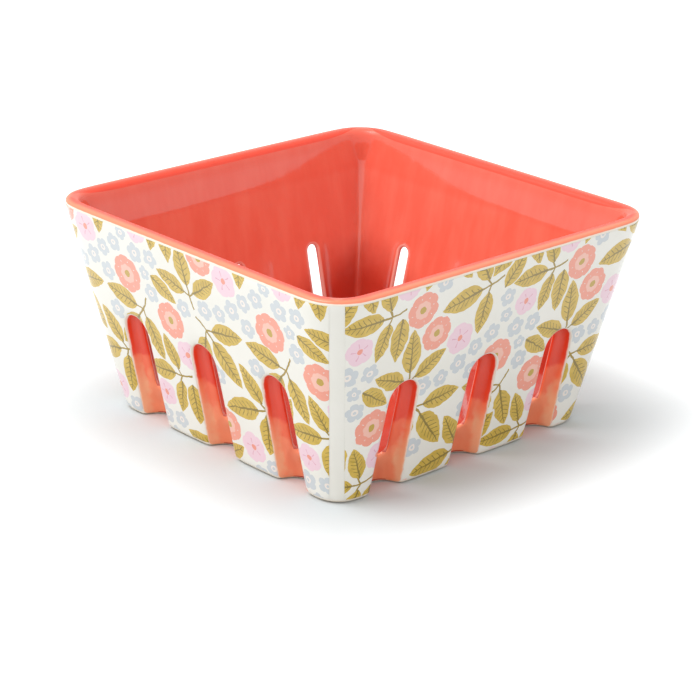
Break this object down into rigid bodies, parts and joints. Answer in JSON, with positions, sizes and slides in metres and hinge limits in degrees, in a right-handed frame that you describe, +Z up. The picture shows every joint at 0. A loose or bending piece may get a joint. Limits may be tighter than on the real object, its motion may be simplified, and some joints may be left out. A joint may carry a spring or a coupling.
{
  "type": "berry colander bowl",
  "caption": "Square glazed stoneware berry bowl with sloping walls and round-topped drain slots that run down to its feet.",
  "frame": {"origin": "centre of the foot, on the surface that the bowl stands on", "axes": "+Z up through the mouth, +X and -Y square to two walls; -Y is the front wall"},
  "size_m": [0.1334, 0.1334, 0.069],
  "materials": {
    "stoneware": "bare fired buff clay, matt, seen only on the wiped foot",
    "coral_glaze": "glossy coral glaze that breaks to a pale line along its edges",
    "ivory_glaze": "glossy ivory glaze",
    "printed_transfer": "ochre, coral, pink and grey-blue leaf and bloom print fired under gloss"
  },
  "bodies": {
    "root": {"stoneware_body": "stoneware", "coral_glaze": "coral_glaze", "ivory_glaze": "ivory_glaze", "front_print": "printed_transfer", "right_print": "printed_transfer", "back_print": "printed_transfer", "left_print": "printed_transfer"}
  },
  "joints": []
}
